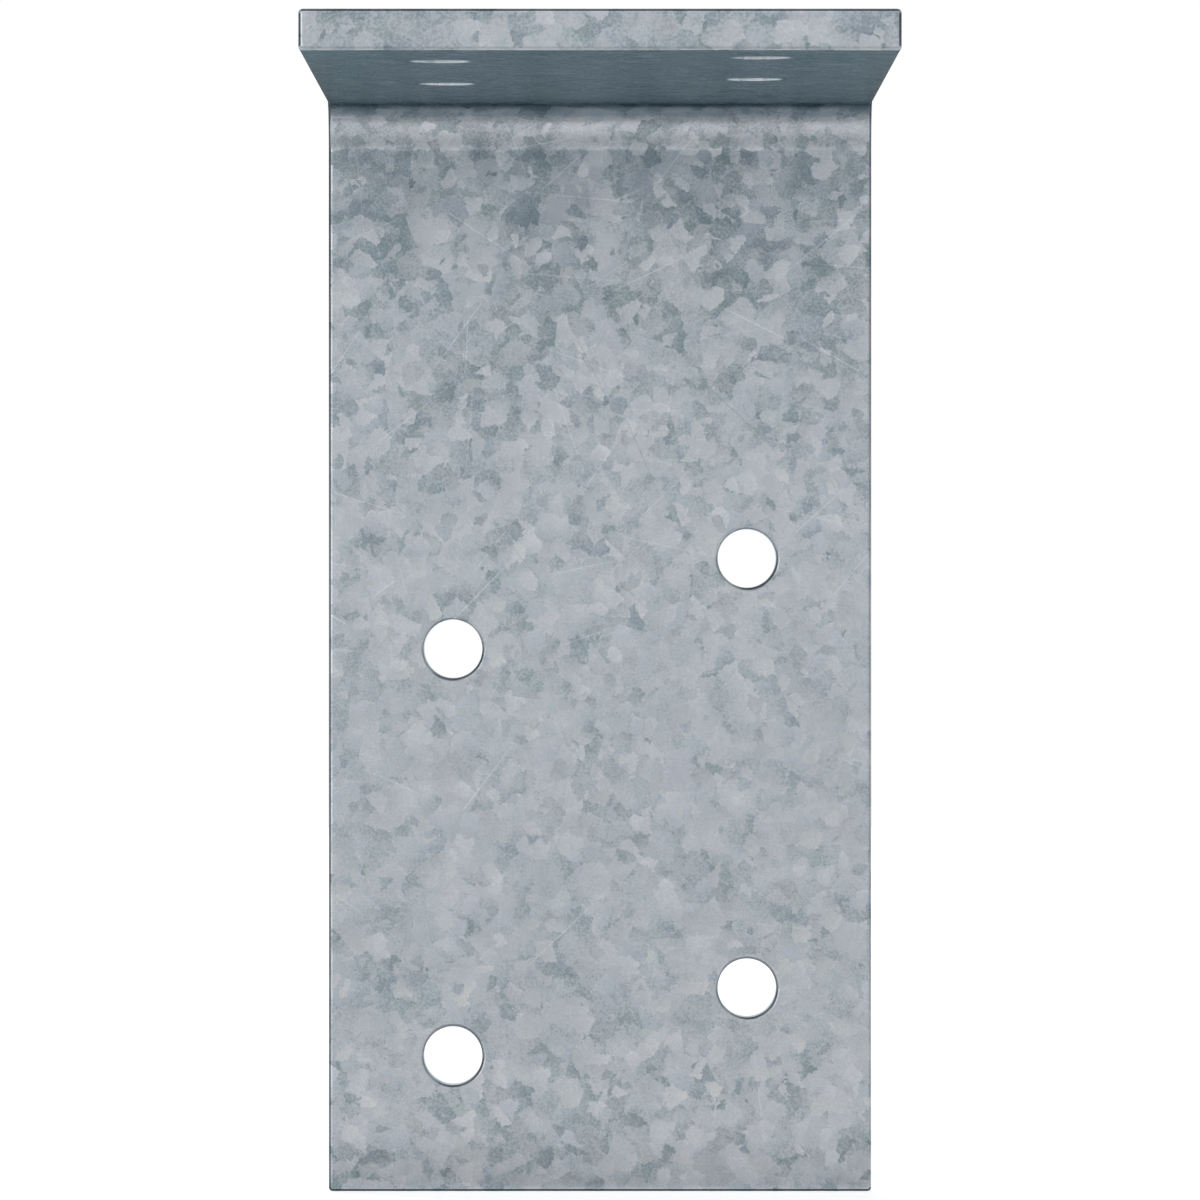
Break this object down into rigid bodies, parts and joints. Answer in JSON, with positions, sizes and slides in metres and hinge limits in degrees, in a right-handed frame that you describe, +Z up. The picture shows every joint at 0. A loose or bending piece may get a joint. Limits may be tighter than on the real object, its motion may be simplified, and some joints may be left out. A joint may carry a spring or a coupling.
{
  "type": "framing angle",
  "caption": "Strip of galvanised sheet steel folded square into equal legs punched with staggered nail holes, for tying timber members together at a corner.",
  "frame": {"origin": "the heel: where the planes of the two seating faces meet, at the middle of the strip's width", "axes": "+Y out of the back seating face of the hanging leg, +Z up out of the top seating face of the flange, +X along the fold"},
  "size_m": [0.0382, 0.0789, 0.0789],
  "materials": {
    "galvanised_steel": "satin zinc coat with a fine spangle"
  },
  "bodies": {
    "root": {"framing_angle": "galvanised_steel"}
  },
  "joints": []
}
